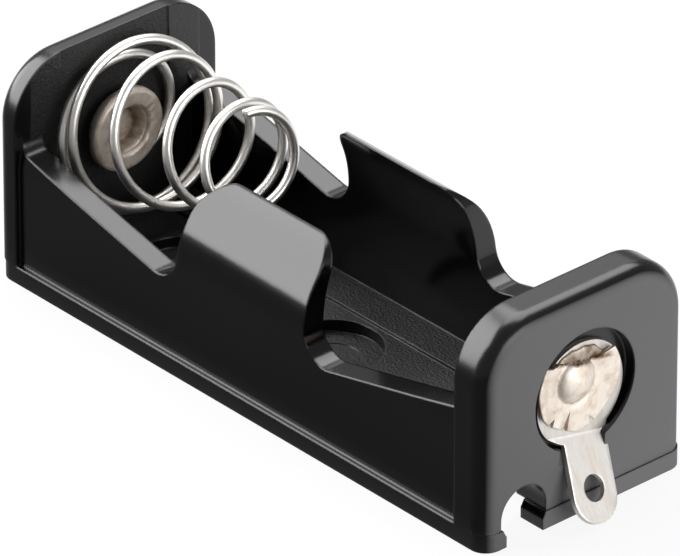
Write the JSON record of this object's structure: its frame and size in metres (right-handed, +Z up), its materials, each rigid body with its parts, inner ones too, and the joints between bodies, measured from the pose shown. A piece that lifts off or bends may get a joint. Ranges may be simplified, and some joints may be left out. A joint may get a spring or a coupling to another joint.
{
  "type": "cylindrical cell holder",
  "caption": "Open plastic tray that clips round one small cylindrical cell, with a coil spring contact, a riveted button contact and solder lugs.",
  "frame": {"origin": "middle of the underside of the whole part, at the level it rests on", "axes": "+X along the cell from the spring to the button contact, +Z up out of the open side, +Y across"},
  "size_m": [0.0422, 0.014, 0.0128],
  "materials": {
    "tray_plastic": "gloss black moulding, fine matt grain on the floor and the spring's end wall",
    "spring_wire": "bright nickel plate",
    "rivet_metal": "nickel plate over brass",
    "lug_metal": "tin plate over brass"
  },
  "bodies": {
    "holder": {"tray": "tray_plastic", "negative_rivet": "rivet_metal", "negative_solder_lug": "lug_metal", "positive_rivet": "rivet_metal", "positive_solder_lug": "lug_metal"},
    "contact_spring": {"spring": "spring_wire"}
  },
  "joints": [
    {"name": "spring_compress", "type": "slide", "parent": "holder", "child": "contact_spring", "axis": [-1, 0, 0], "range_m": [0, 0.0055], "stiffness_N_per_m": 350, "deforming": ["spring"]}
  ]
}
